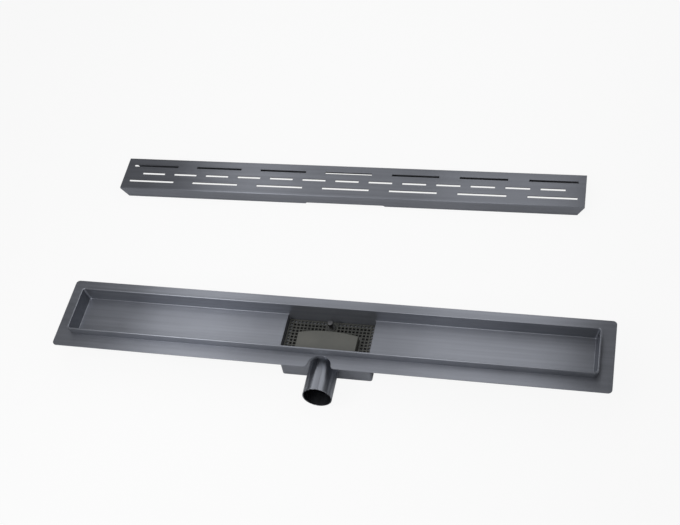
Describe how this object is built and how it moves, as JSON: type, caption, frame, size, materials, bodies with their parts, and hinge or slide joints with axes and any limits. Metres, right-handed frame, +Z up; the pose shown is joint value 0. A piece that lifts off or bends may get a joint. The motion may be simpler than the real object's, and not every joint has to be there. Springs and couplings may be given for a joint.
{
  "type": "linear shower drain",
  "caption": "Linear shower drain in gunmetal steel: flanged trough with a central sump, side outlet, strainer and trap hood, and its slotted cover taken off and set down behind it.",
  "frame": {"origin": "centre of the sump's flat underside, on which the channel stands", "axes": "+X along the channel, +Y away from the outlet, +Z up; the outlet points along -Y"},
  "size_m": [0.9679, 0.5409, 0.085],
  "materials": {
    "channel_steel": "gunmetal coated sheet, satin, with a fine grain along the length",
    "cover_steel": "gunmetal coated sheet, brushed along the length",
    "insert_plastic": "moulded, olive grey, matt",
    "knob_steel": "turned, satin",
    "seal_rubber": "soft black"
  },
  "bodies": {
    "root": {"channel_body": "channel_steel", "sump_box": "channel_steel", "outlet_pipe": "channel_steel", "weir_plate": "channel_steel", "ledge_left": "channel_steel", "ledge_right": "channel_steel", "ledge_back": "channel_steel", "cover_grate": "cover_steel", "trap_hood": "insert_plastic", "strainer_grid": "insert_plastic", "lift_knob": "knob_steel", "knob_screw": "knob_steel", "knob_washer": "knob_steel", "hood_seal": "seal_rubber"}
  },
  "joints": []
}
